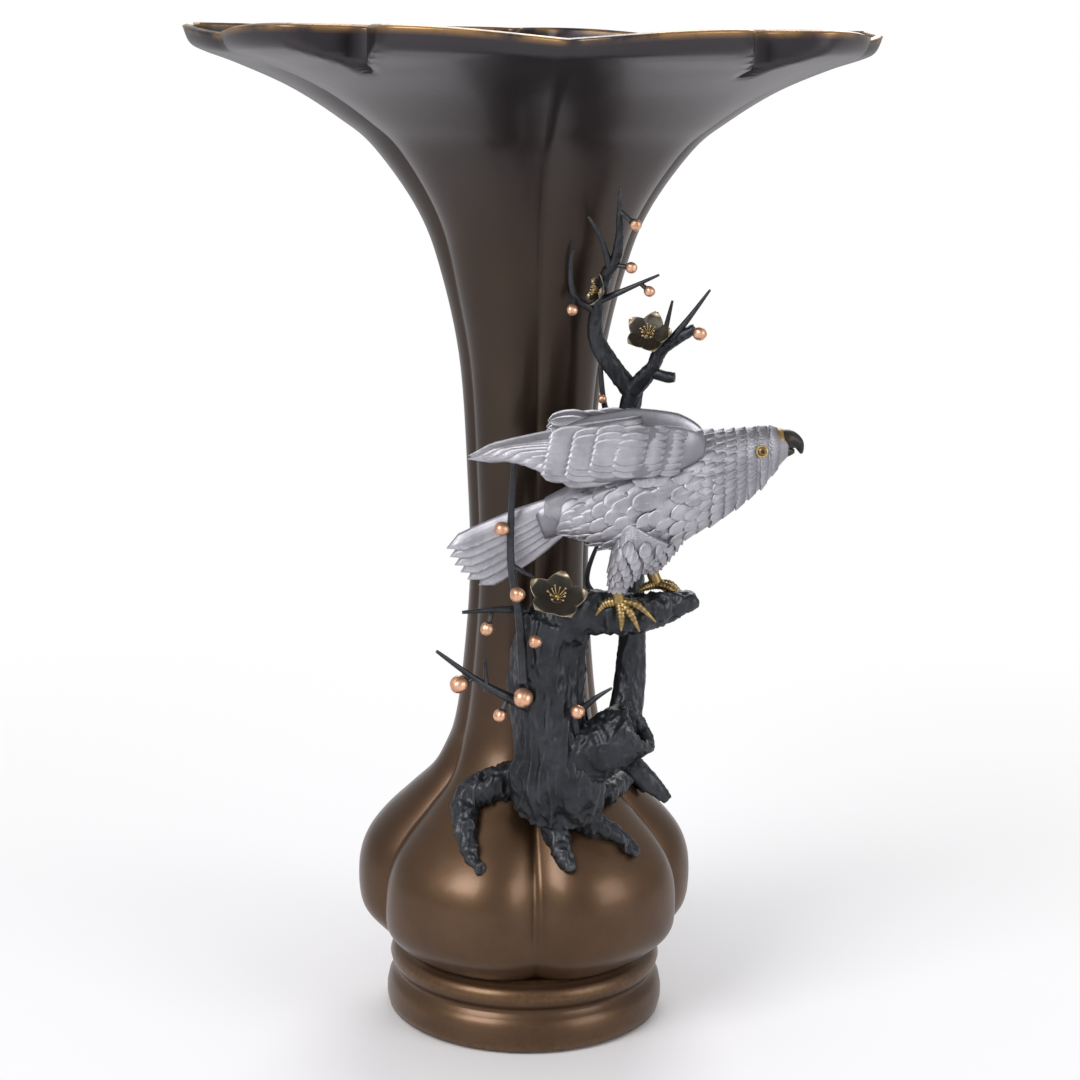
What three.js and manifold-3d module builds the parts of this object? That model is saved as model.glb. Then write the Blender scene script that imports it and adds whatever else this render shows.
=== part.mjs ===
// Bronze flower vase with a cast plum tree and a silvered hawk, millimetres, +Z up.
// Origin: centre of the foot on the surface that the vase stands on. The front is -Y.
import * as THREE from 'three';
import { mergeVertices } from 'three/addons/utils/BufferGeometryUtils.js';
import Module from 'manifold-3d';

const wasm = await Module();
wasm.setup();

// Driving dimensions of the vase
const GAP = 0.3;
const LOBES = 5;
const CREASE_ANGLE = 5;
const WALL = 4;
const FOOT_HEIGHT = 33;
const FOOT_RADIUS = 65.5;
const LEDGE_HEIGHT = 9;
const LEDGE_RADIUS = 50;
const FOOT_BORE = 54;
const PLATE_THICKNESS = 3;
const SHOULDER_HEIGHT = 140;
const SPIGOT_LENGTH = 8;
const SPIGOT_RADIUS = 29.6;
const MOUTH_JOINT = 350;
const MOUTH_SPIGOT_RADIUS = 36.2;
const RIM_HEIGHT = 456;
const RIM_RADIUS = 156;
const RIM_WAVE = 4;
const CLEFT_RADIUS = 126;
const CLEFT_HALF_ANGLE = 9;
const LIP_THICKNESS = 3;

// Outline of the bulb, outermost radius against height
const BULB_OUTLINE = [
  [60.5, 33.3], [70, 40], [78, 50], [79.5, 67], [76.5, 80], [69, 91],
  [57, 103], [45, 115], [38.4, 127], [34, 139.7],
];

// Outlines of the neck and of the mouth cast onto it, outermost radius against height
const NECK_OUTLINE = [[34, 140], [30.6, 165], [27.6, 210], [29, 254], [33, 309], [42, MOUTH_JOINT]];
const MOUTH_OUTLINE = [
  [42, MOUTH_JOINT], [52.6, 377], [72, 404], [88, 417], [109, 430], [132, 440],
  [147, 445.5], [153, 449], [RIM_RADIUS, RIM_HEIGHT],
];

// Hawk sizes
const HAWK_Y = -62;
const WING_THICKNESS = 2.6;
const EYE_RADIUS = 2.2;

// Colours
const finish = (color, roughness, metalness = 1) => new THREE.MeshStandardMaterial({ color, roughness, metalness });
const BROWN_BRONZE = finish(0x6e553c, 0.4);
const DARK_BRONZE = finish(0x2d2f34, 0.5);
const SILVERED = finish(0xa5a2ac, 0.45);
const COPPER = finish(0xdca882, 0.35);
const GILT = finish(0x9a7c3c, 0.35);
const BLACK = finish(0x28241f, 0.4);

const point = (x, y, z) => new THREE.Vector3(x, y, z);
const radians = THREE.MathUtils.degToRad;

// A closed three.js geometry as a solid, its faces turned outwards
function solidOf(geometry) {
  const bare = geometry.index ? geometry.toNonIndexed() : geometry.clone();
  bare.deleteAttribute('normal');
  bare.deleteAttribute('uv');
  const merged = mergeVertices(bare, 1e-4);
  const vertProperties = new Float32Array(merged.attributes.position.array);
  const triVerts = new Uint32Array(merged.index.array);
  let volume = 0;
  for (let i = 0; i < triVerts.length; i += 3) {
    const corner = [0, 1, 2].map((k) => new THREE.Vector3().fromArray(vertProperties, 3 * triVerts[i + k]));
    volume += corner[0].dot(corner[1].cross(corner[2]));
  }
  if (volume < 0) {
    for (let i = 0; i < triVerts.length; i += 3) {
      [triVerts[i], triVerts[i + 1]] = [triVerts[i + 1], triVerts[i]];
    }
  }
  return new wasm.Manifold(new wasm.Mesh({ numProp: 3, vertProperties, triVerts }));
}

// A closed surface through rings of points: capped at its ends, or looped from last ring to first
function loft(rings, looped = false) {
  const count = rings[0].length;
  const positions = [];
  const faces = [];
  rings.flat().forEach((p) => positions.push(p.x, p.y, p.z));
  const spans = looped ? rings.length : rings.length - 1;
  for (let i = 0; i < spans; i++) {
    const low = i * count;
    const high = ((i + 1) % rings.length) * count;
    for (let j = 0; j < count; j++) {
      const k = (j + 1) % count;
      faces.push(low + j, low + k, high + k, low + j, high + k, high + j);
    }
  }
  if (!looped) {
    [rings[0], rings.at(-1)].forEach((ring, end) => {
      const hub = positions.length / 3;
      const middle = ring.reduce((sum, p) => sum.add(p), point(0, 0, 0)).divideScalar(count);
      positions.push(middle.x, middle.y, middle.z);
      const first = end * (rings.length - 1) * count;
      for (let j = 0; j < count; j++) {
        const k = (j + 1) % count;
        if (end) faces.push(hub, first + j, first + k);
        else faces.push(hub, first + k, first + j);
      }
    });
  }
  const geometry = new THREE.BufferGeometry();
  geometry.setAttribute('position', new THREE.Float32BufferAttribute(positions, 3));
  geometry.setIndex(faces);
  return solidOf(geometry);
}

// A swept limb: points along its middle, a radius or a pair of half widths at each point
function limb(points, sizes, { sides = 8, steps = 8, across = null, knots = 0, grow = 0 } = {}) {
  const curve = new THREE.CatmullRomCurve3(points.map((p) => point(...p)), false, 'centripetal');
  const frames = curve.computeFrenetFrames(steps, false);
  const rings = [];
  for (let i = 0; i <= steps; i++) {
    const t = i / steps;
    const at = curve.getPoint(t);
    const tangent = curve.getTangent(t);
    if (i === 0) at.addScaledVector(tangent, -grow);
    if (i === steps) at.addScaledVector(tangent, grow);
    const side = across ? point(...across).normalize() : frames.normals[i];
    const rise = tangent.clone().cross(side).normalize();
    const place = t * (sizes.length - 1);
    const index = Math.min(Math.floor(place), sizes.length - 2);
    const share = place - index;
    const [a, b] = [0, 1].map((k) => {
      const from = sizes[index][k] ?? sizes[index];
      const to = sizes[index + 1][k] ?? sizes[index + 1];
      return from + (to - from) * share + grow;
    });
    const ring = [];
    for (let j = 0; j < sides; j++) {
      const angle = (2 * Math.PI * j) / sides;
      const bump = 1 + knots * (Math.sin(3 * angle + 6 * t) + 0.7 * Math.sin(2 * angle - 11 * t));
      const p = at.clone();
      p.addScaledVector(side, a * bump * Math.cos(angle));
      p.addScaledVector(rise, b * bump * Math.sin(angle));
      ring.push(p);
    }
    rings.push(ring);
  }
  return loft(rings);
}

// A flattened ball
function ball(centre, radii, grow = 0, turn = null) {
  const geometry = turn ? new THREE.SphereGeometry(1, 7, 4) : new THREE.IcosahedronGeometry(1, 1);
  if (turn) geometry.rotateX(Math.PI / 2);
  geometry.scale(...radii.map((r) => r + grow));
  if (turn) geometry.applyQuaternion(turn);
  geometry.translate(...centre);
  return solidOf(geometry);
}

// Angles round one section, closer together at the crease and at the cleft
const LOBE_STEPS = [0, 7, 17, 28, 36, 44, 55, 65];
const SECTION_ANGLES = [];
for (let lobe = 0; lobe < LOBES; lobe++) {
  LOBE_STEPS.forEach((step) => SECTION_ANGLES.push(CREASE_ANGLE + (lobe * 360) / LOBES + step));
}

// Share of the crease depth at an azimuth measured from the front towards +X
function creaseShare(angle) {
  const lobe = Math.abs(Math.sin(radians((LOBES * (angle - CREASE_ANGLE)) / 2)));
  return (1 - lobe) ** 2;
}

const bulbDepth = (z) => 3 + 10 * Math.sin(Math.PI * THREE.MathUtils.clamp((z - 25) / 110, 0, 1));
const neckDepth = (z) => 3 + 11 * THREE.MathUtils.smoothstep(z, 330, 445);

// One lobed section of the vase; the mouth sections also take the cleft in each petal's tip
function section(radius, z, depth, inset = 0, mouth = false) {
  return SECTION_ANGLES.map((angle) => {
    let r = radius - depth * creaseShare(angle);
    let height = z;
    if (mouth) {
      const fromTip = Math.abs((((angle - CREASE_ANGLE) % 72) + 72) % 72 - 36);
      const cleft = CLEFT_RADIUS + (RIM_RADIUS - CLEFT_RADIUS) * Math.min(fromTip / CLEFT_HALF_ANGLE, 1) ** 0.7;
      r = Math.min(r, cleft - inset);
      const edge = THREE.MathUtils.smoothstep(z, 436, RIM_HEIGHT);
      height -= RIM_WAVE * edge * creaseShare(angle) ** 0.5;
      height += RIM_WAVE * edge * (1 - creaseShare(angle)) * (fromTip / 36) * (1 - fromTip / 36);
    }
    return point(r * Math.sin(radians(angle)), -r * Math.cos(radians(angle)), height);
  });
}

// Points along an outline, moved inwards by the wall
function outlinePoints(outline, count, wall) {
  const curve = new THREE.SplineCurve(outline.map(([r, z]) => new THREE.Vector2(r, z)));
  const points = [];
  for (let i = 0; i <= count; i++) {
    const t = i / count;
    const at = curve.getPoint(t);
    const tangent = curve.getTangent(t);
    points.push([at.x - tangent.y * wall, at.y + tangent.x * wall]);
  }
  return points;
}

const bulbSections = (wall, count) => outlinePoints(BULB_OUTLINE, count, wall)
  .map(([r, z]) => section(r, THREE.MathUtils.clamp(z, BULB_OUTLINE[0][1], SHOULDER_HEIGHT - GAP), bulbDepth(z)));
const neckSections = (outline, wall, count) => outlinePoints(outline, count, wall)
  .map(([r, z]) => [r, THREE.MathUtils.clamp(z, outline[0][1], outline === NECK_OUTLINE ? MOUTH_JOINT - GAP : Infinity)])
  .map(([r, z]) => section(r, z, neckDepth(z), wall, true));

// The bulb of the vase, open at the foot and at the shoulder
const bulbShell = () => loft([...bulbSections(0, 10), ...bulbSections(WALL, 5).reverse()], true);

// A cast section of the neck, with the spigot that seats inside the section below it
function neckShell(outline, spigotRadius, wall, outerCount, innerCount) {
  const joint = outline[0][1];
  const depth = neckDepth(joint);
  const spigot = [
    section(spigotRadius - wall, joint - SPIGOT_LENGTH, depth),
    section(spigotRadius, joint - SPIGOT_LENGTH, depth),
    section(spigotRadius, joint, depth),
  ];
  const inside = neckSections(outline, wall, innerCount).reverse();
  return loft([...spigot, ...neckSections(outline, 0, outerCount), ...inside], true);
}

// The whole vase as one filled form, which the ornament is fitted against
function vaseForm(grow) {
  const lift = ([r, z]) => [r + grow, z];
  const bulb = outlinePoints(BULB_OUTLINE, 10, 0).map(lift).map(([r, z]) => section(r, z, bulbDepth(z)));
  const neck = outlinePoints([...NECK_OUTLINE, ...MOUTH_OUTLINE.slice(1)], 16, -grow)
    .map(([r, z]) => section(r, z + 0.01, neckDepth(z), -grow, true));
  return loft([...bulb, ...neck]);
}

// Moulded foot ring with the inner ledge that carries the base plate
function footRing() {
  const outline = new THREE.Path();
  outline.moveTo(LEDGE_RADIUS, 0);
  outline.lineTo(FOOT_RADIUS - 3, 0);
  outline.quadraticCurveTo(FOOT_RADIUS, 1, FOOT_RADIUS, 8);
  outline.quadraticCurveTo(FOOT_RADIUS, 15, FOOT_RADIUS - 3, 16.5);
  outline.quadraticCurveTo(FOOT_RADIUS - 6, 18.5, FOOT_RADIUS - 3.5, 21);
  outline.quadraticCurveTo(FOOT_RADIUS - 0.5, 26, FOOT_RADIUS - 4, 30);
  outline.lineTo(FOOT_RADIUS - 7, FOOT_HEIGHT);
  outline.lineTo(FOOT_BORE, FOOT_HEIGHT);
  outline.lineTo(FOOT_BORE, LEDGE_HEIGHT);
  outline.lineTo(LEDGE_RADIUS, LEDGE_HEIGHT);
  outline.lineTo(LEDGE_RADIUS, 0);
  const profile = outline.getPoints(2);
  const lathe = new THREE.LatheGeometry(profile, 36);
  lathe.rotateX(Math.PI / 2);
  return solidOf(lathe);
}

// Round base plate that closes the foot
function basePlate() {
  const plate = new THREE.CylinderGeometry(FOOT_BORE - GAP, FOOT_BORE - GAP, PLATE_THICKNESS, 36);
  plate.rotateX(Math.PI / 2);
  plate.translate(0, 0, LEDGE_HEIGHT + GAP + PLATE_THICKNESS / 2);
  return solidOf(plate);
}

// Outer radius of the vase at a height and azimuth
function vaseRadius(z, angle) {
  const low = z < SHOULDER_HEIGHT;
  const outline = low ? BULB_OUTLINE : [...NECK_OUTLINE, ...MOUTH_OUTLINE.slice(1)];
  const upper = Math.max(1, outline.findIndex(([, height]) => height >= z));
  const [[r0, z0], [r1, z1]] = [outline[upper - 1], outline[upper]];
  const r = r0 + ((r1 - r0) * (z - z0)) / (z1 - z0);
  return r - (low ? bulbDepth(z) : neckDepth(z)) * creaseShare(angle);
}

// The point in front of the vase at a width and height, lifted off its surface
function onVase(x, z, lift) {
  let r = vaseRadius(z, 20) + lift;
  for (let i = 0; i < 3; i++) {
    const angle = THREE.MathUtils.radToDeg(Math.asin(THREE.MathUtils.clamp(x / r, -1, 1)));
    r = vaseRadius(z, angle) + lift;
  }
  return [x, -Math.sqrt(Math.max(r * r - x * x, 1)), z];
}

// Everything made so far, each with a slightly larger copy that later pieces are cut by
const placed = [];
const vase = new THREE.Group();

function overlaps(a, b) {
  const [p, q] = [a.boundingBox(), b.boundingBox()];
  return [0, 1, 2].every((k) => p.min[k] < q.max[k] && q.min[k] < p.max[k]);
}

function addPiece(name, material, make) {
  let solid = make(0);
  placed.forEach((other) => {
    if (overlaps(solid, other.grown)) solid = solid.subtract(other.grown);
  });
  const pieces = solid.decompose().sort((a, b) => b.volume() - a.volume());
  const clean = pieces[0].simplify(0.03);
  const mesh = clean.getMesh();
  const geometry = new THREE.BufferGeometry();
  geometry.setAttribute('position', new THREE.BufferAttribute(mesh.vertProperties, 3));
  geometry.setIndex(new THREE.BufferAttribute(mesh.triVerts, 1));
  geometry.computeVertexNormals();
  const node = new THREE.Mesh(geometry, material);
  node.name = name;
  vase.add(node);
  placed.push({ name, grown: make(GAP) });
}

const addLimb = (name, material, points, sizes, options = {}) => {
  addPiece(name, material, (grow) => limb(points, sizes, { ...options, grow }));
};

// Pins that hold the tree: each runs through the wall of the vase into the trunk
const PIN_RADIUS = 2;
const PINS = { fixing_pin_lower: [12, 112, 48], fixing_pin_upper: [11, 160, 30] };
Object.entries(PINS).forEach(([name, [x, z, depth]]) => {
  addPiece(name, BROWN_BRONZE, (grow) => {
    const pin = new THREE.CylinderGeometry(PIN_RADIUS + grow, PIN_RADIUS + grow, 22 + 2 * grow, 12);
    pin.translate(x, -depth + 2, z);
    return solidOf(pin);
  });
});

// The vase itself; ornament is cut by the filled form of the vase
addPiece('foot_ring', BROWN_BRONZE, footRing);
addPiece('base_plate', BROWN_BRONZE, basePlate);
placed.splice(2);
addPiece('body_shell', BROWN_BRONZE, bulbShell);
placed.splice(2);
addPiece('neck', BROWN_BRONZE, () => neckShell(NECK_OUTLINE, SPIGOT_RADIUS, WALL, 6, 4));
placed.splice(2);
addPiece('mouth', BROWN_BRONZE, () => neckShell(MOUTH_OUTLINE, MOUTH_SPIGOT_RADIUS, LIP_THICKNESS, 9, 6));
placed.splice(2);
placed.push({ name: 'vase_form', grown: vaseForm(GAP) });

// Trunk with its gripping roots, and the perch that grows from its top
const ROOTS = [
  { path: [[2, 124, 2], [-19, 119, 3], [-27, 113, 4], [-27, 103, 3.5], [-24, 95, 2.5], [-19, 89, 2]], sizes: [10, 7.5, 6.5, 5, 3.5, 2] },
  { path: [[9, 124, 4], [12, 110, 4.5], [15, 99, 3.5], [20, 89, 2]], sizes: [10, 7, 5, 3] },
  { path: [[16, 120, 4], [28, 107, 4], [40, 101, 3], [50, 91, 2]], sizes: [9, 6.5, 4.5, 2.5] },
  { path: [[20, 124, 3], [34, 115, 3], [48, 113, 2.5], [57, 106, 1.5]], sizes: [9, 6.5, 4.5, 2] },
];
const TRUNK_PATH = [[13, -44, 116], [14, -50, 128], [13, -49, 142], [9, -50, 163], [8, -52, 184], [13, -56, 205]];
const TRUNK_SIZES = [20, 20, 18, 16.5, 16, 14];
const PERCH_PATH = [[10, -55, 198], [25, -60, 207], [46, -62, 207], [64, -62, 211], [73, -62, 214]];
const PERCH_SIZES = [14, 10, 8.5, 6, 3];
addPiece('trunk', DARK_BRONZE, (grow) => {
  let solid = limb(TRUNK_PATH, TRUNK_SIZES, { sides: 12, steps: 8, knots: 0.07, grow });
  solid = solid.add(limb(PERCH_PATH, PERCH_SIZES, { sides: 8, steps: 7, knots: 0.06, grow }));
  ROOTS.forEach(({ path, sizes }) => {
    const route = path.map(([x, z, lift]) => onVase(x, z, lift));
    solid = solid.add(limb(route, sizes, { sides: 7, steps: 6, knots: 0.05, grow }));
  });
  return solid;
});

// Broken hollow stump on the right of the trunk
const STUMP_PATH = [[22, -52, 138], [36, -57, 146], [50, -60, 155]];
const STUMP_HOLLOW = [[40, -60, 149], [52, -61.5, 157], [60, -63, 162]];
addPiece('broken_stump', DARK_BRONZE, (grow) => {
  const outer = limb(STUMP_PATH, [16, 13, 13], { sides: 12, steps: 5, knots: 0.06, grow });
  return outer.subtract(limb(STUMP_HOLLOW, [5, 9.5 - grow, 11 - grow], { sides: 10, steps: 4 }));
});
addLimb('stump_root', DARK_BRONZE, [[44, -56, 140], [54, -60, 130], [63, -60, 121]], [5.5, 4.5, 2.5], { sides: 7, steps: 5 });

// Rear branch that rises behind the hawk, and the forked boughs at its top
addLimb('rear_branch', DARK_BRONZE,
  [[42, -44, 146], [46, -36, 168], [47, -33, 205], [45, -31, 245], [42, -32, 280], [45, -37, 304]],
  [8, 7, 5.5, 5, 5, 4.5], { sides: 8, steps: 12, knots: 0.06 });
addLimb('left_bough', DARK_BRONZE,
  [[44, -36, 301], [34, -37, 314], [28, -37, 325], [28, -40, 338], [31, -45, 352], [36, -52, 364], [36, -64, 392]],
  [4.5, 4, 3.6, 3.2, 2.8, 2.2, 0.5], { sides: 7, steps: 12, knots: 0.05 });
addLimb('right_bough', DARK_BRONZE,
  [[44, -38, 302], [52, -43, 312], [57, -46, 322], [70, -50, 331]],
  [4.2, 3.4, 2.8, 2.4], { sides: 7, steps: 7, knots: 0.05 });

// Straight thorn-like twigs: name, points from root to tip, radius at root and tip
const TWIGS = {
  front_twig: [[[-2, -66, 176], [-4, -68, 205], [-8, -69, 231], [-8, -70, 256], [-7, -71, 277]], 2.2, 1.2],
  front_twig_thorn: [[[-7, -69, 229], [2, -72, 225]], 1.5, 0.5],
  left_thorn: [[[-1, -62, 208], [-14, -66, 209], [-29, -68, 208]], 2, 0.7],
  diagonal_twig: [[[2, -60, 163], [-7, -64, 168], [-22, -67, 177], [-40, -70, 191]], 3, 0.7],
  small_twig: [[[-18, -66, 172], [-19, -68, 187]], 1.4, 0.6],
  right_thorn: [[[22, -58, 160], [30, -61, 168], [37, -62, 173]], 1.8, 0.5],
  rear_thorn: [[[44, -33, 200], [26, -36, 214], [34, -34, 240]], 2, 0.6],
  rear_twig: [[[43, -34, 278], [33, -36, 292], [30, -37, 312]], 1.8, 1],
  upper_left_thorn: [[[33, -48, 356], [29, -54, 369], [23, -58, 379]], 1.8, 0.5],
  curved_twig: [[[28, -40, 336], [18, -43, 344], [16, -45, 356], [17, -47, 364]], 1.8, 0.6],
  crossing_thorn: [[[30, -43, 342], [40, -47, 347], [54, -51, 354]], 1.8, 0.5],
  outer_thorn: [[[58, -47, 323], [67, -50, 335], [76, -52, 348]], 1.9, 0.5],
  inner_thorn: [[[56, -46, 322], [58, -49, 333], [60, -51, 343]], 1.7, 0.5],
  bough_stub: [[[51, -42, 311], [59, -45, 309], [62, -46, 309]], 2.8, 2.2],
};
Object.entries(TWIGS).forEach(([name, [points, root, tip]]) => {
  const sizes = points.map((_, i) => root + ((tip - root) * i) / (points.length - 1));
  addLimb(name, DARK_BRONZE, points, sizes, { sides: 6, steps: Math.max(3, points.length) });
});

// Plum blossom: five cupped petals round a dish, and a tuft of stamens
function blossom(name, centre, facing, radius) {
  const turn = new THREE.Quaternion().setFromUnitVectors(point(0, 0, 1), point(...facing).normalize());
  const place = (x, y, z) => point(x, y, z).applyQuaternion(turn).add(point(...centre)).toArray();
  addPiece(`${name}_petals`, DARK_BRONZE, (grow) => {
    let solid = ball(place(0, 0, -0.5), [radius * 0.4, radius * 0.4, 1.6], grow, turn);
    for (let i = 0; i < 5; i++) {
      const angle = (2 * Math.PI * i) / 5;
      const tilt = new THREE.Quaternion().setFromAxisAngle(point(-Math.sin(angle), Math.cos(angle), 0), -0.35);
      const at = place(0.62 * radius * Math.cos(angle), 0.62 * radius * Math.sin(angle), 0.9);
      solid = solid.add(ball(at, [radius * 0.42, radius * 0.42, 1.1], grow, turn.clone().multiply(tilt)));
    }
    return solid;
  });
  addPiece(`${name}_stamens`, GILT, (grow) => {
    let solid = limb([place(0, 0, 0), place(0, 0, 3)], [radius * 0.16, radius * 0.12], { sides: 6, steps: 1, grow });
    for (let i = 0; i < 5; i++) {
      const angle = (2 * Math.PI * i) / 5;
      const [x, y] = [Math.cos(angle), Math.sin(angle)];
      const path = [place(0, 0, 2), place(0.3 * radius * x, 0.3 * radius * y, 4.6)];
      solid = solid.add(limb(path, [0.45, 0.6], { sides: 3, steps: 1, grow }));
    }
    return solid;
  });
}
blossom('front_blossom', [12, -73, 216], [0.1, -0.6, 0.8], 12);
blossom('right_blossom', [50, -50, 328], [-0.1, -0.8, 0.6], 10);
blossom('left_blossom', [29, -46, 346], [-0.9, -0.3, 0.3], 7);

// Round buds: centre, radius, and the place on the wood that the stalk runs into
const BUDS = [
  [[-12, -71, 246], 3.2, [-8, -69.5, 245]], [[-5, -71, 217], 3.4, [-6, -68.5, 217]],
  [[-18, -69, 201], 3, [-16, -66.5, 208]], [[3, -71, 196], 3, [3, -62, 194]],
  [[-30, -70, 176], 4, [-24, -67.5, 178]], [[-12, -66, 161], 3, [-9, -65, 168]],
  [[22, -69, 164], 3.2, [16, -60, 163]], [[-2, -69, 170], 4.4, [0, -60, 172]],
  [[43, -61, 376], 2.6, [36, -60, 382]], [[42, -52, 357], 2.5, [34, -49, 358]],
  [[50, -52, 347], 2.4, [46, -48.5, 350]], [[17, -47, 338], 2.5, [18, -43, 343]],
  [[72, -52, 329], 3, [69, -50, 330]], [[31, -39, 298], 2, [32, -36.5, 295]],
];
BUDS.forEach(([centre, radius, wood], i) => {
  addPiece(`bud_${String(i + 1).padStart(2, '0')}`, COPPER, (grow) => {
    const head = ball(centre, [radius, radius, radius], grow);
    return head.add(limb([wood, centre], [0.9, 1.2], { sides: 5, steps: 1, grow }));
  });
});

// Legs of the hawk: feathered thigh and shank, three front toes and a hind toe with claws
const LEGS = {
  right: { hip: [50, -70, 246], knee: [43, -71, 233], heel: [38, -71, 220], sole: [39, -70.5, 214.5] },
  left: { hip: [58, -54, 246], knee: [55, -54, 235], heel: [53, -55, 226], sole: [56, -56, 219] },
};
const TOES = {
  right: [[[47, -72, 213], [55, -72.5, 206]], [[44, -74, 210], [48, -74, 202]], [[40, -74, 209], [40, -73.5, 202]], [[33, -70, 213], [29, -70, 208]]],
  left: [[[62, -57, 219], [68, -58, 214]], [[62, -60, 218], [66, -64, 214]], [[58, -53, 218], [61, -49, 213]], [[51, -58, 218], [47, -60, 216]]],
};

// Body and head of the hawk as upright sections: place along X, middle height, half height, half width
const HAWK_SECTIONS = [
  [6, 253, 5, 6], [20, 254, 12, 10], [38, 258, 20, 16], [55, 263, 24, 18.5], [70, 266, 22.5, 17],
  [83, 270, 19, 14], [93, 274, 16, 11], [101, 278, 12.5, 9.5], [107, 281.5, 8, 7], [110.5, 282, 4.5, 4.5],
];
addPiece('hawk_body', SILVERED, (grow) => {
  let solid = loft(HAWK_SECTIONS.map(([x, z, high, wide], i) => {
    const ends = { 0: -grow, [HAWK_SECTIONS.length - 1]: grow };
    const ring = [];
    for (let j = 0; j < 16; j++) {
      const angle = (2 * Math.PI * j) / 16;
      ring.push(point(x + (ends[i] ?? 0), HAWK_Y + (wide + grow) * Math.cos(angle), z + (high + grow) * Math.sin(angle)));
    }
    return ring;
  }));
  Object.values(LEGS).forEach(({ hip, knee, heel }) => {
    solid = solid.add(limb([hip, knee, heel], [12, 8, 2.8], { sides: 8, steps: 4, grow }));
  });
  return solid;
});
addLimb('beak', BLACK, [[107, HAWK_Y, 284], [112.5, HAWK_Y, 284.5], [116, HAWK_Y, 282], [116.5, HAWK_Y, 279]],
  [5, 3.8, 2.2, 0.6], { sides: 8, steps: 6 });
[1, -1].forEach((side) => {
  const at = [98.5, HAWK_Y - 9.3 * side, 281.5];
  addPiece(side > 0 ? 'eye_right' : 'eye_left', GILT, (grow) => ball(at, [EYE_RADIUS, 1.6, EYE_RADIUS], grow));
});

// Folded wings: a covert slab over long primary feathers that reach back past the tail
const COVERT_PATH = [[74, 13, 283], [64, 18.5, 284], [46, 21.5, 283], [28, 19, 280], [15, 15, 279]];
const COVERT_SIZES = [[2, 4], [3.2, 9.5], [3.4, 12], [3.2, 12], [2, 8]];
const PRIMARIES = [
  { path: [[40, 20, 288], [10, 12, 285], [-27, 4, 275]], high: [6, 5, 1] },
  { path: [[40, 20.5, 282], [10, 13.5, 280], [-20, 6, 275.5]], high: [6, 4.5, 1] },
  { path: [[40, 20.5, 277], [14, 15, 274], [-6, 9, 275]], high: [6, 5, 1.2] },
  { path: [[40, 20.5, 272], [22, 17, 269], [10, 14, 268]], high: [6, 5, 2] },
];
[1, -1].forEach((side) => {
  const flip = (path) => path.map(([x, out, z]) => [x, HAWK_Y - out * side, z]);
  const flat = { sides: 6, steps: 5, across: [0, 1, 0] };
  addPiece(side > 0 ? 'wing_right' : 'wing_left', SILVERED, (grow) => {
    let solid = limb(flip(COVERT_PATH), COVERT_SIZES, { ...flat, sides: 8, grow });
    PRIMARIES.forEach(({ path, high }) => {
      const sizes = high.map((half, i) => [i === 2 ? 0.7 : WING_THICKNESS / 2, half]);
      solid = solid.add(limb(flip(path), sizes, { ...flat, grow }));
    });
    return solid;
  });
});

// Tail: a fan of long feathers set edge on behind the body
const TAIL_TIPS = [[-36, -66, 236], [-33, -63.5, 229], [-28, -61, 223], [-21, -58.5, 218]];
addPiece('tail', SILVERED, (grow) => {
  let solid = limb([[22, HAWK_Y, 254], [4, HAWK_Y, 247]], [[8, 9], [5, 9]], { sides: 10, steps: 3, across: [0, 1, 0], grow });
  TAIL_TIPS.forEach(([x, y, z], i) => {
    const root = [16, HAWK_Y, 258 - 4 * i];
    const middle = [(root[0] + x) / 2, (root[1] + y) / 2, (root[2] + z) / 2 + 1];
    solid = solid.add(limb([root, middle, [x, y, z]], [[2, 4.5], [1.6, 5], [0.8, 2]], { sides: 6, steps: 4, across: [0, 1, 0], grow }));
  });
  return solid;
});

Object.entries(LEGS).forEach(([side, { heel, sole }]) => {
  addPiece(`foot_${side}`, GILT, (grow) => {
    let solid = limb([heel, sole], [2.6, 2.8], { sides: 7, steps: 2, grow });
    TOES[side].forEach(([joint, claw]) => {
      solid = solid.add(limb([sole, joint, claw], [2.1, 1.7, 0.5], { sides: 5, steps: 3, grow }));
    });
    return solid;
  });
});

export default vase;
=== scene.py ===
"""Bronze flower vase with a cast plum tree and a silvered hawk."""
import math
import random

import bmesh
import bpy
from bpy.props import FloatProperty, FloatVectorProperty, PointerProperty
from mathutils import Matrix, Vector, noise


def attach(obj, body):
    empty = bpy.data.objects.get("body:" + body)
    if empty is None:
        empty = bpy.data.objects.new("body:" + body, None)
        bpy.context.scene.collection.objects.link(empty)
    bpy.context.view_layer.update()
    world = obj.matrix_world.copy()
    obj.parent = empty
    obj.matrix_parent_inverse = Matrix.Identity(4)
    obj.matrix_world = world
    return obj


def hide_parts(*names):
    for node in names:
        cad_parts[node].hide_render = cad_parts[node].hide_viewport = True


bl_info = {
    "name": "Bronze vase with hawk",
    "version": (1, 0, 0),
    "blender": (4, 5, 0),
    "location": "View3D > Sidebar > Bronze vase",
    "description": "Builds a lobed bronze vase with a cast plum tree and a silvered hawk",
    "category": "Add Mesh",
}

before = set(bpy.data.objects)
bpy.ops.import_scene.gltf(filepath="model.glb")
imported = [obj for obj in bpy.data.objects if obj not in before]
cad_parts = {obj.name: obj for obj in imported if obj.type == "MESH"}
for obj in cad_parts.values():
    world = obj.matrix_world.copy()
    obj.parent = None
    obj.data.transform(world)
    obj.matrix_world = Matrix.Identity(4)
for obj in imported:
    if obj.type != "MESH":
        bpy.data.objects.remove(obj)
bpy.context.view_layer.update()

MM = 0.001

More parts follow.
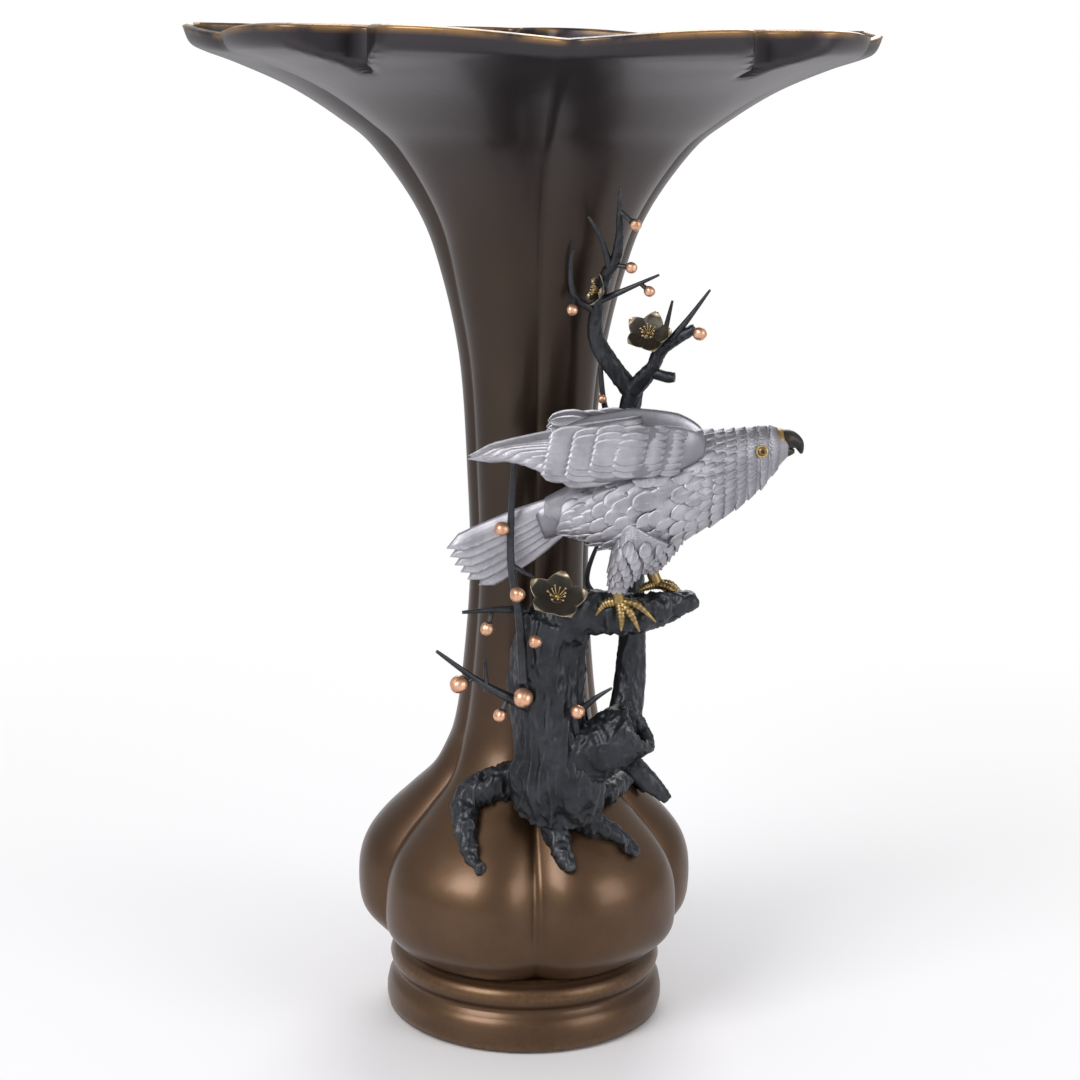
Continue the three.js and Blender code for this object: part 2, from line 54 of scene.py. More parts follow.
# Driving sizes of the vase, in millimetres and degrees
LOBES = 5
LOBE_ANGLE = 360 / LOBES
CREASE_ANGLE = 5.0
LIP = 3.0
SHOULDER = 140.0
RIM_HEIGHT = 456.0
RIM_RADIUS = 156.0
RIM_WAVE = 4.0
WAVE_START = 436.0
CLEFT_RADIUS = 126.0
CLEFT_HALF_ANGLE = 9.0
HAWK_Y = -62.0

# Fineness of the meshes
POINTS_PER_LOBE = 36
OUTER_STEPS = 150
INNER_STEPS = 90
FOOT_SIDES = 160
TANGENT_REACH = 0.02

# Wear of the lip, by rings from the top of the rim
LIP_WEAR = ((-2, 0.3), (-1, 0.7), (0, 1.0), (1, 1.0), (2, 0.5))

# Stage in metres and degrees, with the camera's framing in pixels
FRAME_PIXELS = 1080
FOCAL_PIXELS = 2290
SHIFT_PIXELS = (10, -21)
SENSOR_WIDTH = 36
CAMERA_PLACE = (0, -1.033, 0.455)
CAMERA_TILT = 12
CAMERA_ROLL = 0.75
AIM_HEIGHT = 0.24
FLOOR_SIZE = 6
FLOOR_GAP = 0.0004
FADE_START = 0.12
FADE_END = 0.75
WORLD_LIGHT = 0.55

# Lamps: place, width and share of the main lamp's power
LAMPS = {
    "key": ((-1.1, -1.3, 1.3), 1.0, 1.0),
    "fill": ((1.3, -0.9, 0.7), 0.9, 0.35),
    "back": ((0.2, 1.4, 1.2), 1.0, 0.5),
}

# Engraved barbs as a wave, in radians: over the width of a feather, and per centimetre of its length
BARB_SLANT = -26.0
BARB_PITCH = 95.0

# Outlines of the vase in millimetres, outermost radius against height
BULB = [(60.5, 33.3), (70, 40), (78, 50), (79.5, 67), (76.5, 80), (69, 91), (57, 103), (45, 115),
        (38.4, 127), (34, 139.7)]
NECK = [(34, 140), (30.6, 165), (27.6, 210), (29, 254), (33, 309), (42, 350), (52.6, 377), (72, 404),
        (88, 417), (109, 430), (132, 440), (147, 445.5), (153, 449), (RIM_RADIUS, RIM_HEIGHT)]

# Section of the foot ring with its inner ledge
FOOT = [(50, 0), (62, 0), (64.6, 1.2), (65.5, 5), (65.5, 9), (64.6, 13.5), (63, 16), (61.2, 17.6),
        (60.8, 19), (61.6, 20.6), (63.4, 23), (64, 25.5), (63.2, 28.2), (61.4, 30.4), (59.5, 31.2),
        (58.8, 33), (54, 33), (54, 9), (50, 9)]


class VaseSettings(bpy.types.PropertyGroup):
    """Colours and light of the vase."""
    bronze: FloatVectorProperty(name="Brown bronze", description="Colour of the vase's patina",
                                subtype="COLOR", size=3, default=(0.105, 0.058, 0.03))
    dark_bronze: FloatVectorProperty(name="Dark bronze", description="Colour of the tree's patina",
                                     subtype="COLOR", size=3, default=(0.038, 0.041, 0.048))
    worn: FloatVectorProperty(name="Worn metal", description="Bright metal on rubbed edges",
                              subtype="COLOR", size=3, default=(0.36, 0.2, 0.075))
    silver: FloatVectorProperty(name="Silvering", description="Colour of the hawk's silvering",
                                subtype="COLOR", size=3, default=(0.44, 0.43, 0.47))
    copper: FloatVectorProperty(name="Bud copper", description="Colour of the buds",
                                subtype="COLOR", size=3, default=(0.78, 0.42, 0.27))
    gilt: FloatVectorProperty(name="Gilding", description="Colour of the worn gilding",
                              subtype="COLOR", size=3, default=(0.27, 0.185, 0.065))
    light: FloatProperty(name="Light", description="Power of the main soft light",
                         default=26.0, min=0.0, unit="POWER")


# Curves and meshes

def spline(points, t):
    """Point on a smooth curve through the points, t from 0 to 1."""
    spans = len(points) - 1
    place = min(max(t, 0.0), 1.0) * spans
    i = min(int(place), spans - 1)
    u = place - i
    ring = [points[max(i - 1, 0)], points[i], points[i + 1], points[min(i + 2, spans)]]
    result = []
    for a, b, c, d in zip(*ring):
        result.append(0.5 * (2 * b + (c - a) * u + (2 * a - 5 * b + 4 * c - d) * u * u
                             + (3 * b - a - 3 * c + d) * u ** 3))
    return result


def add_rings(bm, rings, looped=False):
    """Skin rings of points given in millimetres; the ends are capped unless looped."""
    rows = [[bm.verts.new(Vector(p) * MM) for p in ring] for ring in rings]
    count = len(rows[0])
    spans = len(rows) if looped else len(rows) - 1
    for i in range(spans):
        low, high = rows[i], rows[(i + 1) % len(rows)]
        for j in range(count):
            k = (j + 1) % count
            bm.faces.new((low[j], low[k], high[k], high[j]))
    if not looped:
        bm.faces.new(rows[0][::-1])
        bm.faces.new(rows[-1])
    return rows


def limb_rings(points, sizes, sides, steps, across=None, knots=0.0):
    """Rings along a swept limb; each size is a radius or a pair of half widths."""
    pairs = [s if isinstance(s, (tuple, list)) else (s, s) for s in sizes]
    rings = []
    side = Vector(across) if across else None
    normal = Vector((0.31, 0.87, 0.38))
    for i in range(steps + 1):
        t = i / steps
        at = Vector(spline(points, t))
        ahead = Vector(spline(points, min(t + TANGENT_REACH, 1)))
        behind = Vector(spline(points, max(t - TANGENT_REACH, 0)))
        tangent = (ahead - behind).normalized()
        if side is None:
            normal = (normal - tangent * normal.dot(tangent)).normalized()
            u = normal
        else:
            u = side
        v = tangent.cross(u).normalized()
        place = t * (len(pairs) - 1)
        k = min(int(place), len(pairs) - 2)
        a, b = (pairs[k][m] + (pairs[k + 1][m] - pairs[k][m]) * (place - k) for m in (0, 1))
        ring = []
        for j in range(sides):
            angle = 2 * math.pi * j / sides
            bump = 1 + knots * (math.sin(3 * angle + 6 * t) + 0.7 * math.sin(2 * angle - 11 * t))
            ring.append(at + u * (a * bump * math.cos(angle)) + v * (b * bump * math.sin(angle)))
        rings.append(ring)
    return rings


def add_limb(bm, points, sizes, sides=12, steps=16, across=None, knots=0.0):
    """Add a swept limb to a mesh."""
    add_rings(bm, limb_rings(points, sizes, sides, steps, across, knots))


def add_ball(bm, centre, radii, turn=None, segments=18):
    """Add a flattened ball to a mesh."""
    made = bmesh.ops.create_uvsphere(bm, u_segments=segments, v_segments=segments // 2 + 2, radius=1)
    matrix = Matrix.Translation(Vector(centre) * MM)
    if turn is not None:
        matrix = matrix @ turn.to_matrix().to_4x4()
    matrix = matrix @ Matrix.Diagonal((radii[0] * MM, radii[1] * MM, radii[2] * MM, 1))
    bmesh.ops.transform(bm, matrix=matrix, verts=made["verts"])


def finish_piece(name, bm, material, nodes=()):
    """Turn a mesh into a piece that rides on the vase."""
    bmesh.ops.recalc_face_normals(bm, faces=bm.faces)
    mesh = bpy.data.meshes.new(name)
    bm.to_mesh(mesh)
    bm.free()
    mesh.polygons.foreach_set("use_smooth", [True] * len(mesh.polygons))
    piece = bpy.data.objects.new(name, mesh)
    bpy.context.scene.collection.objects.link(piece)
    mesh.materials.append(material)
    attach(piece, "root")
    if nodes:
        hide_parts(*nodes)
    return piece


def fuse(piece, voxel, smooth=4, rough=0.0, scale=1.0, stretch=1.0):
    """Melt overlapping limbs into one cast skin, then roughen it like bark."""
    bpy.context.view_layer.objects.active = piece
    remesh = piece.modifiers.new("fuse", "REMESH")
    remesh.mode = "VOXEL"
    remesh.voxel_size = voxel * MM
    soften = piece.modifiers.new("soften", "SMOOTH")
    soften.iterations = smooth
    evaluated = piece.evaluated_get(bpy.context.evaluated_depsgraph_get())
    mesh = bpy.data.meshes.new_from_object(evaluated)
    piece.modifiers.clear()
    old = piece.data
    material = old.materials[0]
    piece.data = mesh
    mesh.name = piece.name
    bpy.data.meshes.remove(old)
    if not mesh.materials:
        mesh.materials.append(material)
    if rough:
        moved = []
        for v in mesh.vertices:
            p = Vector((v.co.x, v.co.y, v.co.z / stretch)) / (scale * MM)
            ridge = abs(noise.noise(p)) + 0.5 * abs(noise.noise(p * 2.3))
            moved.append(v.co + v.normal * (0.35 - ridge) * rough * MM)
        for v, co in zip(mesh.vertices, moved):
            v.co = co
    mesh.polygons.foreach_set("use_smooth", [True] * len(mesh.polygons))
    mesh.update()


# Shared shader effects

def new_group(name, inputs, outputs):
    """Start a shader node group with named sockets."""
    group = bpy.data.node_groups.new(name, "ShaderNodeTree")
    for label, kind, value in inputs:
        socket = group.interface.new_socket(label, in_out="INPUT", socket_type=kind)
        socket.default_value = value
    for label, kind in outputs:
        group.interface.new_socket(label, in_out="OUTPUT", socket_type=kind)
    start = group.nodes.new("NodeGroupInput")
    end = group.nodes.new("NodeGroupOutput")
    return group, start, end


def node(tree, kind, **values):
    """Add a node and set its named inputs or attributes."""
    made = tree.nodes.new(kind)
    for key, value in values.items():
        if key in made.inputs:
            made.inputs[key].default_value = value
        else:
            setattr(made, key, value)
    return made


def feed(tree, socket, value):
    """Link a socket to an input, or set the input's own value."""
    if hasattr(value, "is_output"):
        tree.links.new(value, socket)
    else:
        socket.default_value = value


def mix_colour(tree, factor, first, second):
    """Mix two colours; each argument is a socket or a value."""
    mixer = node(tree, "ShaderNodeMix", data_type="RGBA")
    for place, value in ((0, factor), (6, first), (7, second)):
        feed(tree, mixer.inputs[place], value)
    return mixer.outputs[2]


def calc(tree, operation, *values):
    """Result of a math node; each value is a socket or a number."""
    made = node(tree, "ShaderNodeMath", operation=operation)
    for socket, value in zip(made.inputs, values):
        feed(tree, socket, value)
    return made.outputs[0]


def ramp(tree, value, low, high):
    """Clear mask from 0 at low to 1 at high."""
    mapper = node(tree, "ShaderNodeMapRange")
    mapper.inputs["From Min"].default_value = low
    mapper.inputs["From Max"].default_value = high
    tree.links.new(value, mapper.inputs["Value"])
    return mapper.outputs["Result"]


def ramp_between(tree, value, low, high):
    """Map a noise value onto a range of roughness."""
    mapper = node(tree, "ShaderNodeMapRange")
    mapper.inputs["To Min"].default_value = low
    mapper.inputs["To Max"].default_value = high
    tree.links.new(value, mapper.inputs["Value"])
    return mapper.outputs["Result"]


def patina_group():
    """Mottled patina with rubbed high edges: colour, roughness and height."""
    name = "patina"
    if name in bpy.data.node_groups:
        return bpy.data.node_groups[name]
    group, start, end = new_group(
        name,
        [("Metal", "NodeSocketColor", (0.2, 0.1, 0.05, 1)),
         ("Shade", "NodeSocketColor", (0.02, 0.02, 0.02, 1)),
         ("Worn", "NodeSocketColor", (0.5, 0.3, 0.1, 1)),
         ("Scale", "NodeSocketFloat", 20.0),
         ("Mottle", "NodeSocketFloat", 0.5),
         ("Wear", "NodeSocketFloat", 0.5)],
        [("Color", "NodeSocketColor"), ("Roughness", "NodeSocketFloat"), ("Height", "NodeSocketFloat")])
    link = group.links.new
    place = node(group, "ShaderNodeTexCoord").outputs["Object"]
    cloud = node(group, "ShaderNodeTexNoise", Detail=5.0, Roughness=0.6)
    link(place, cloud.inputs["Vector"])
    link(start.outputs["Scale"], cloud.inputs["Scale"])
    fine = node(group, "ShaderNodeTexNoise", Scale=420.0, Detail=4.0, Roughness=0.65)
    link(place, fine.inputs["Vector"])
    mottle = calc(group, "MULTIPLY", ramp(group, cloud.outputs["Fac"], 0.42, 0.66), start.outputs["Mottle"])
    body = mix_colour(group, mottle, start.outputs["Metal"], start.outputs["Shade"])
    edges = node(group, "ShaderNodeNewGeometry").outputs["Pointiness"]
    worn = calc(group, "MULTIPLY", ramp(group, edges, 0.52, 0.6), start.outputs["Wear"])
    patchy = calc(group, "MULTIPLY", worn, ramp(group, fine.outputs["Fac"], 0.3, 0.6))
    link(mix_colour(group, patchy, body, start.outputs["Worn"]), end.inputs["Color"])
    link(ramp_between(group, cloud.outputs["Fac"], 0.3, 0.5), end.inputs["Roughness"])
    link(fine.outputs["Fac"], end.inputs["Height"])
    return group


def start_material(name, metallic, patina):
    """A metal with patina; returns material, tree, shader, group node and bump node."""
    material = bpy.data.materials.new(name)
    material.use_nodes = True
    tree = material.node_tree
    shader = tree.nodes["Principled BSDF"]
    shader.inputs["Metallic"].default_value = metallic
    effect = tree.nodes.new("ShaderNodeGroup")
    effect.node_tree = patina_group()
    for key, value in patina.items():
        effect.inputs[key].default_value = value
    tree.links.new(effect.outputs["Color"], shader.inputs["Base Color"])
    tree.links.new(effect.outputs["Roughness"], shader.inputs["Roughness"])
    bump = node(tree, "ShaderNodeBump", Strength=0.25, Distance=0.0002)
    tree.links.new(effect.outputs["Height"], bump.inputs["Height"])
    tree.links.new(bump.outputs["Normal"], shader.inputs["Normal"])
    return material, tree, shader, effect, bump


def opaque(colour):
    """Colour with full alpha."""
    return (*colour[:3], 1.0)


def vessel_material(settings):
    """Waxed brown bronze, darker up the neck with a painted dark reflection, a painted grey sheen on the
    flare, and a worn lip.
    """
    if "vessel_bronze" in bpy.data.materials:
        return bpy.data.materials["vessel_bronze"]
    material, tree, shader, effect, _ = start_material("vessel_bronze", 0.85, {
        "Metal": opaque(settings.bronze), "Shade": (0.06, 0.03, 0.016, 1), "Worn": opaque(settings.worn),
        "Scale": 14.0, "Mottle": 0.75, "Wear": 0.6})
    coord = node(tree, "ShaderNodeTexCoord")
    split = node(tree, "ShaderNodeSeparateXYZ")
    tree.links.new(coord.outputs["Object"], split.inputs[0])
    # Painted dark reflection: from 0.12 m up, the neck is mixed towards near black, standing in for the
    # dark room it reflects.
    high = ramp(tree, split.outputs["Z"], 0.12, 0.2)
    dark = mix_colour(tree, high, effect.outputs["Color"], (0.03, 0.021, 0.016, 1))
    painted_dark_neck = mix_colour(tree, 0.8, effect.outputs["Color"], dark)
    # Painted sheen: from 0.36 m up, the flare is mixed towards a lavender grey, a painted reflection of the
    # floor.
    flare = ramp(tree, split.outputs["Z"], 0.36, 0.44)
    painted_reflections = mix_colour(tree, flare, painted_dark_neck, (0.04, 0.035, 0.04, 1))
    lip = node(tree, "ShaderNodeAttribute", attribute_name="lip")
    streak = node(tree, "ShaderNodeTexNoise", Scale=60.0, Detail=3.0)
    tree.links.new(coord.outputs["Object"], streak.inputs["Vector"])
    rubbed = calc(tree, "MULTIPLY", lip.outputs["Fac"], ramp(tree, streak.outputs["Fac"], 0.35, 0.55))
    final = mix_colour(tree, rubbed, painted_reflections, opaque(settings.worn))
    tree.links.new(final, shader.inputs["Base Color"])
    shader.inputs["Coat Weight"].default_value = 0.25
    shader.inputs["Coat Roughness"].default_value = 0.2
    return material


def plain_metal(name, metallic, patina, strength=0.25, distance=0.0002):
    """A patinated metal by name, made once."""
    if name in bpy.data.materials:
        return bpy.data.materials[name]
    material, *_, bump = start_material(name, metallic, patina)
    bump.inputs["Strength"].default_value = strength
    bump.inputs["Distance"].default_value = distance
    return material


def bark_material(settings):
    """Black patinated cast bark with rubbed ridges."""
    return plain_metal("bark_bronze", 0.7, {
        "Metal": opaque(settings.dark_bronze), "Shade": (0.012, 0.013, 0.016, 1),
        "Worn": (0.11, 0.108, 0.11, 1),
        "Scale": 60.0, "Mottle": 0.8, "Wear": 0.8}, 0.5, 0.0004)


def petal_material(settings):
    """Dark petals with pale rubbed rims."""
    if "petal_bronze" in bpy.data.materials:
        return bpy.data.materials["petal_bronze"]
    material, tree, shader, effect, _ = start_material("petal_bronze", 0.8, {
        "Metal": (0.06, 0.052, 0.042, 1), "Shade": (0.02, 0.018, 0.014, 1), "Worn": (0.4, 0.3, 0.2, 1),
        "Scale": 90.0, "Mottle": 0.6, "Wear": 0.9})
    rim = node(tree, "ShaderNodeAttribute", attribute_name="lip")
    edge = ramp(tree, rim.outputs["Fac"], 0.45, 1.0)
    rubbed = mix_colour(tree, edge, effect.outputs["Color"], (0.45, 0.36, 0.25, 1))
    tree.links.new(rubbed, shader.inputs["Base Color"])
    return material


def copper_material(settings):
    """Pinkish copper of the buds."""
    return plain_metal("bud_copper", 0.9, {
        "Metal": opaque(settings.copper), "Shade": (0.3, 0.13, 0.06, 1), "Worn": (0.95, 0.7, 0.5, 1),
        "Scale": 260.0, "Mottle": 0.7, "Wear": 0.6})


def gilt_material(settings):
    """Worn gilding of feet, eyes and stamens."""
    return plain_metal("worn_gilding", 0.9, {
        "Metal": opaque(settings.gilt), "Shade": (0.06, 0.04, 0.018, 1), "Worn": (0.85, 0.62, 0.3, 1),
        "Scale": 200.0, "Mottle": 0.8, "Wear": 0.7}, 0.5, 0.0003)


def black_material(settings):
    """Black horn of the beak and claws."""
    return plain_metal("black_patina", 0.5, {
        "Metal": (0.02, 0.018, 0.016, 1), "Shade": (0.008, 0.008, 0.008, 1), "Worn": (0.2, 0.17, 0.13, 1),
        "Scale": 150.0, "Mottle": 0.6, "Wear": 0.7})


def silver_material(settings):
    """Silvering with barbs engraved along each feather's own coordinates, and painted shadow at each
    feather's root.
    """
    if "silvering" in bpy.data.materials:
        return bpy.data.materials["silvering"]
    material, tree, shader, effect, bump = start_material("silvering", 0.75, {
        "Metal": opaque(settings.silver), "Shade": (0.17, 0.165, 0.19, 1), "Worn": (0.72, 0.71, 0.75, 1),
        "Scale": 70.0, "Mottle": 0.55, "Wear": 0.7})
    barb = node(tree, "ShaderNodeUVMap", uv_map="feather")
    split = node(tree, "ShaderNodeSeparateXYZ")
    tree.links.new(barb.outputs["UV"], split.inputs[0])
    across, along = split.outputs["X"], split.outputs["Y"]
    away = calc(tree, "ABSOLUTE", calc(tree, "SUBTRACT", across, 0.5))
    slant = calc(tree, "MULTIPLY_ADD", away, BARB_SLANT, calc(tree, "MULTIPLY", along, BARB_PITCH))
    wave = calc(tree, "SINE", slant)
    height = calc(tree, "MULTIPLY_ADD", wave, 0.5, effect.outputs["Height"])
    tree.links.new(height, bump.inputs["Height"])
    bump.inputs["Strength"].default_value = 0.35
    engraved = calc(tree, "MULTIPLY", ramp(tree, wave, -0.3, -0.95), 0.3)
    lined = mix_colour(tree, engraved, effect.outputs["Color"], (0.1, 0.1, 0.12, 1))
    # Painted shadow: each feather darkens towards its root, where the feather above would shade it.
    shadowed = calc(tree, "MULTIPLY", ramp(tree, along, 0.45, 0.02), 0.6)
    final = mix_colour(tree, shadowed, lined, (0.12, 0.12, 0.14, 1))
    tree.links.new(final, shader.inputs["Base Color"])
    return material


# The vase's lobed sections

def crease_share(angle):
    """Share of the crease depth at an azimuth from the front."""
    lobe = abs(math.sin(math.radians(LOBES * (angle - CREASE_ANGLE) / 2)))
    return (1 - lobe) ** 2


def smoothstep(x, low, high):
    """Smooth rise from 0 to 1."""
    t = min(max((x - low) / (high - low), 0), 1)
    return t * t * (3 - 2 * t)


def bulb_depth(z):
    """Depth of the creases on the bulb."""
    return 3 + 10 * math.sin(math.pi * min(max((z - 25) / 110, 0), 1))


def neck_depth(z):
    """Depth of the creases on the neck and flare."""
    return 3 + 11 * smoothstep(z, 330, 445)


def depth_at(z):
    """Depth of the creases at a height."""
    return bulb_depth(z) if z < SHOULDER else neck_depth(z)


def section(radius, z, depth, inset):
    """One lobed ring of the vase, with the cleft in each petal's tip and the wave of the rim."""
    ring = []
    half_lobe = LOBE_ANGLE / 2
    for i in range(LOBES * POINTS_PER_LOBE):
        inside = LOBE_ANGLE * (i % POINTS_PER_LOBE) / POINTS_PER_LOBE
        angle = CREASE_ANGLE + LOBE_ANGLE * (i // POINTS_PER_LOBE) + inside
        crease = crease_share(angle)
        from_tip = abs(inside - half_lobe)
        share = min(from_tip / CLEFT_HALF_ANGLE, 1) ** 0.7
        cleft = CLEFT_RADIUS + (RIM_RADIUS - CLEFT_RADIUS) * share - inset
        r = min(radius - depth * crease, cleft)
        edge = smoothstep(z, WAVE_START, RIM_HEIGHT)
        height = z - RIM_WAVE * edge * crease ** 0.5
        height += RIM_WAVE * edge * (1 - crease) * (from_tip / half_lobe) * (1 - from_tip / half_lobe)
        turn = math.radians(angle)
        ring.append((r * math.sin(turn), -r * math.cos(turn), height))
    return ring


def outline_points(outline, count, wall):
    """Points along an outline, moved inwards by the wall."""
    points = []
    for i in range(count + 1):
        t = i / count
        r, z = spline(outline, t)
        ahead = spline(outline, min(t + 0.01, 1))
        behind = spline(outline, max(t - 0.01, 0))
        dr, dz = ahead[0] - behind[0], ahead[1] - behind[1]
        length = math.hypot(dr, dz) or 1
        points.append((r - dz / length * wall, z + dr / length * wall))
    return points


def vase_radius(z, angle):
    """Outer radius of the vase at a height and azimuth."""
    low = z < SHOULDER
    outline = BULB if low else NECK
    for (r0, z0), (r1, z1) in zip(outline, outline[1:]):
        if z <= z1:
            break
    r = r0 + (r1 - r0) * (z - z0) / (z1 - z0)
    return r - (bulb_depth(z) if low else neck_depth(z)) * crease_share(angle)


def on_vase(x, z, lift):
    """Point in front of the vase at a width and height."""
    r = vase_radius(z, 20) + lift
    for _ in range(3):
        r = vase_radius(z, math.degrees(math.asin(min(max(x / r, -1), 1)))) + lift
    return (x, -math.sqrt(max(r * r - x * x, 1)), z)


def settings_of(context):
    """The add-on's settings."""
    return context.scene.vase_settings


def fade_to_white(tree, shader):
    """Let the floor turn into the white background away from the vase."""
    coord = node(tree, "ShaderNodeTexCoord")
    flat = node(tree, "ShaderNodeVectorMath", operation="LENGTH")
    tree.links.new(coord.outputs["Object"], flat.inputs[0])
    far = ramp(tree, flat.outputs["Value"], FADE_START, FADE_END)
    path = node(tree, "ShaderNodeLightPath")
    seen = calc(tree, "MULTIPLY", far, path.outputs["Is Camera Ray"])
    white = node(tree, "ShaderNodeEmission")
    blend = node(tree, "ShaderNodeMixShader")
    tree.links.new(seen, blend.inputs[0])
    tree.links.new(shader.outputs[0], blend.inputs[1])
    tree.links.new(white.outputs[0], blend.inputs[2])
    tree.links.new(blend.outputs[0], tree.nodes["Material Output"].inputs["Surface"])


class VASE_OT_stage(bpy.types.Operator):
    """Pale floor, soft studio lights and the camera"""
    bl_idname = "vase.stage"
    bl_label = "Stage"

    def execute(self, context):
        scene = context.scene
        scene.view_settings.view_transform = "Standard"
        floor = bmesh.new()
        bmesh.ops.create_grid(floor, x_segments=1, y_segments=1, size=FLOOR_SIZE)
        mesh = bpy.data.meshes.new("floor")
        floor.to_mesh(mesh)
        floor.free()
        stage = bpy.data.objects.new("floor", mesh)
        scene.collection.objects.link(stage)
        stage.location.z = -FLOOR_GAP
        material = bpy.data.materials.new("pale_floor")
        material.use_nodes = True
        tree = material.node_tree
        shader = tree.nodes["Principled BSDF"]
        shader.inputs["Base Color"].default_value = (0.83, 0.82, 0.84, 1)
        shader.inputs["Roughness"].default_value = 0.7
        fade_to_white(tree, shader)
        mesh.materials.append(material)
        world = bpy.data.worlds.new("studio")
        world.use_nodes = True
        back = world.node_tree.nodes["Background"]
        back.inputs["Color"].default_value = (1, 1, 1, 1)
        path = world.node_tree.nodes.new("ShaderNodeLightPath")
        strength = world.node_tree.nodes.new("ShaderNodeMapRange")
        strength.inputs["To Min"].default_value = WORLD_LIGHT
        strength.inputs["To Max"].default_value = 1.0
        world.node_tree.links.new(path.outputs["Is Camera Ray"], strength.inputs["Value"])
        world.node_tree.links.new(strength.outputs["Result"], back.inputs["Strength"])
        scene.world = world
        power = settings_of(context).light
        for name, (place, size, share) in LAMPS.items():
            lamp = bpy.data.lights.new(name, "AREA")
            lamp.energy = power * share
            lamp.size = size
            holder = bpy.data.objects.new(name, lamp)
            holder.location = place
            aim = Vector((0, 0, AIM_HEIGHT)) - Vector(place)
            holder.rotation_euler = aim.to_track_quat("-Z", "Y").to_euler()
            scene.collection.objects.link(holder)
        data = bpy.data.cameras.new("camera")
        data.sensor_width = SENSOR_WIDTH
        data.lens = FOCAL_PIXELS / FRAME_PIXELS * SENSOR_WIDTH
        data.shift_x, data.shift_y = (shift / FRAME_PIXELS for shift in SHIFT_PIXELS)
        camera = bpy.data.objects.new("camera", data)
        tilt = Matrix.Rotation(math.radians(90 - CAMERA_TILT), 4, "X")
        roll = Matrix.Rotation(math.radians(CAMERA_ROLL), 4, "Z")
        camera.matrix_world = Matrix.Translation(CAMERA_PLACE) @ (tilt @ roll)
        scene.collection.objects.link(camera)
        scene.camera = camera
        return {"FINISHED"}


def lobed_rings(outline, steps, wall):
    """Lobed rings up an outline, moved inwards by the wall."""
    bottom = outline[0][1]
    return [section(r, max(z, bottom), depth_at(z), wall) for r, z in outline_points(outline, steps, wall)]


def make_casting(material):
    """Bulb, neck and mouth as one open shell with a worn lip."""
    outline = BULB[:-1] + NECK
    bm = bmesh.new()
    layer = bm.verts.layers.float.new("lip")
    outer = lobed_rings(outline, OUTER_STEPS, 0)
    inner = lobed_rings(outline, INNER_STEPS, LIP)
    rows = add_rings(bm, outer + inner[::-1], looped=True)
    for offset, share in LIP_WEAR:
        for vert in rows[OUTER_STEPS + offset]:
            vert[layer] = share
    finish_piece("vessel_casting", bm, material, ["body_shell", "neck", "mouth"])


def make_foot(material):
    """Turned foot ring with its mouldings."""
    bm = bmesh.new()
    turns = [2 * math.pi * i / FOOT_SIDES for i in range(FOOT_SIDES)]
    rings = [[(r * math.sin(a), -r * math.cos(a), z) for a in turns] for r, z in FOOT]
    add_rings(bm, rings, looped=True)
    finish_piece("foot", bm, material, ["foot_ring"])


def dress(name, material):
    """Give a CAD node its material."""
    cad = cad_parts[name]
    cad = bpy.data.objects[cad] if isinstance(cad, str) else cad
    if not cad.material_slots:
        cad.data.materials.append(material)
    for place in cad.material_slots:
        place.link = "OBJECT"
        place.material = material


class VASE_OT_vessel(bpy.types.Operator):
    """Foot ring, base plate, bulb and neck of the vase"""
    bl_idname = "vase.vessel"
    bl_label = "Vessel"

    def execute(self, context):
        material = vessel_material(settings_of(context))
        make_casting(material)
        make_foot(material)
        for name in ("base_plate", "fixing_pin_lower", "fixing_pin_upper"):
            dress(name, material)
        return {"FINISHED"}


# Tree in millimetres: paths with half widths; a root's points are width, height and lift off the vase

ROOTS = [
    ([(2, 124, 2), (-19, 119, 3), (-27, 113, 4), (-27, 103, 3.5), (-24, 95, 2.5), (-19, 89, 2)],
     [10, 7.5, 6.5, 5, 3.5, 2]),
    ([(9, 124, 4), (12, 110, 4.5), (15, 99, 3.5), (20, 89, 2)], [10, 7, 5, 3]),
    ([(16, 120, 4), (28, 107, 4), (40, 101, 3), (50, 91, 2)], [9, 6.5, 4.5, 2.5]),
    ([(20, 124, 3), (34, 115, 3), (48, 113, 2.5), (57, 106, 1.5)], [9, 6.5, 4.5, 2]),
]
TRUNK = ([(13, -44, 116), (14, -50, 128), (13, -49, 142), (9, -50, 163), (8, -52, 184), (13, -56, 205)],
         [20, 20, 18, 16.5, 16, 14])
PERCH = ([(10, -55, 198), (25, -60, 207), (46, -62, 207), (64, -62, 211), (73, -62, 214)],
         [14, 10, 8.5, 6, 3])
STUMP = ([(22, -52, 138), (36, -57, 146), (50, -60, 155)], [16, 13, 13])
STUMP_HOLLOW = ([(40, -60, 149), (52, -61.5, 157), (60, -63, 162)], [5, 9.5, 11])
